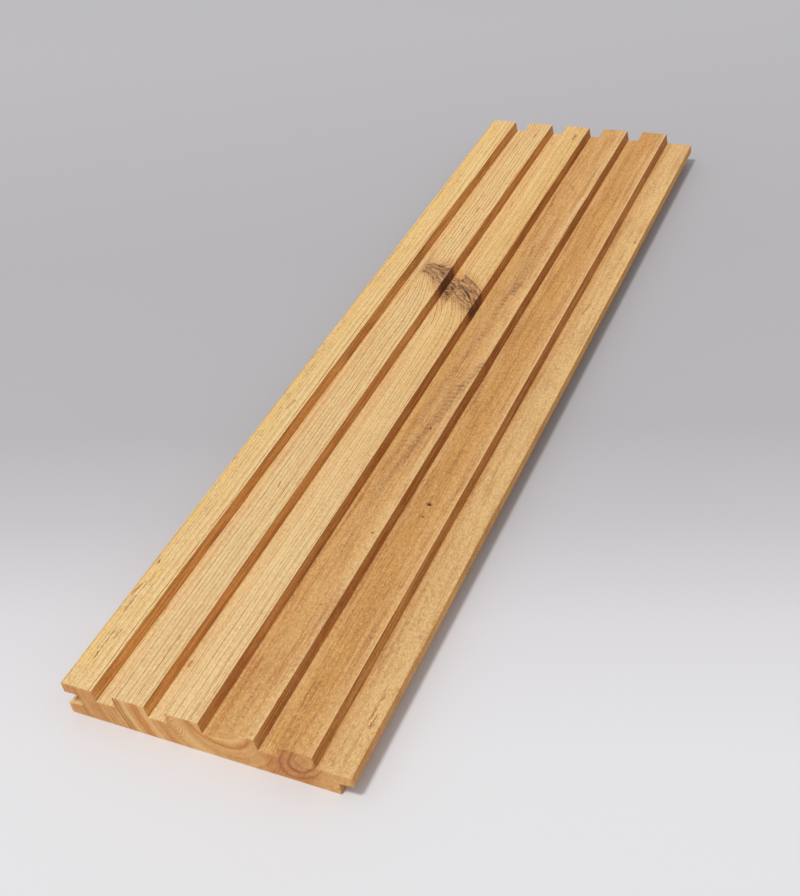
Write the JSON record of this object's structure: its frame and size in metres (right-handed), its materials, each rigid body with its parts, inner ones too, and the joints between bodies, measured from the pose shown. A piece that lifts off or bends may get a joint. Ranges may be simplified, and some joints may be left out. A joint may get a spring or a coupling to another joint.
{
  "type": "fluted cladding board",
  "caption": "Fluted timber cladding board with flat-topped ribs, tapered flute walls, a grooved left edge and a tongued nailing flange on the right.",
  "frame": {"origin": "middle of the flat back, at half the width over the tongue and half the length", "axes": "+Z from the back to the rib tops; +Y along the board; +X across it, from the groove to the tongue"},
  "size_m": [0.145, 0.55, 0.0205],
  "materials": {
    "planed_softwood": "planed, unfinished, matt"
  },
  "bodies": {
    "root": {"cladding_board": "planed_softwood"}
  },
  "joints": []
}
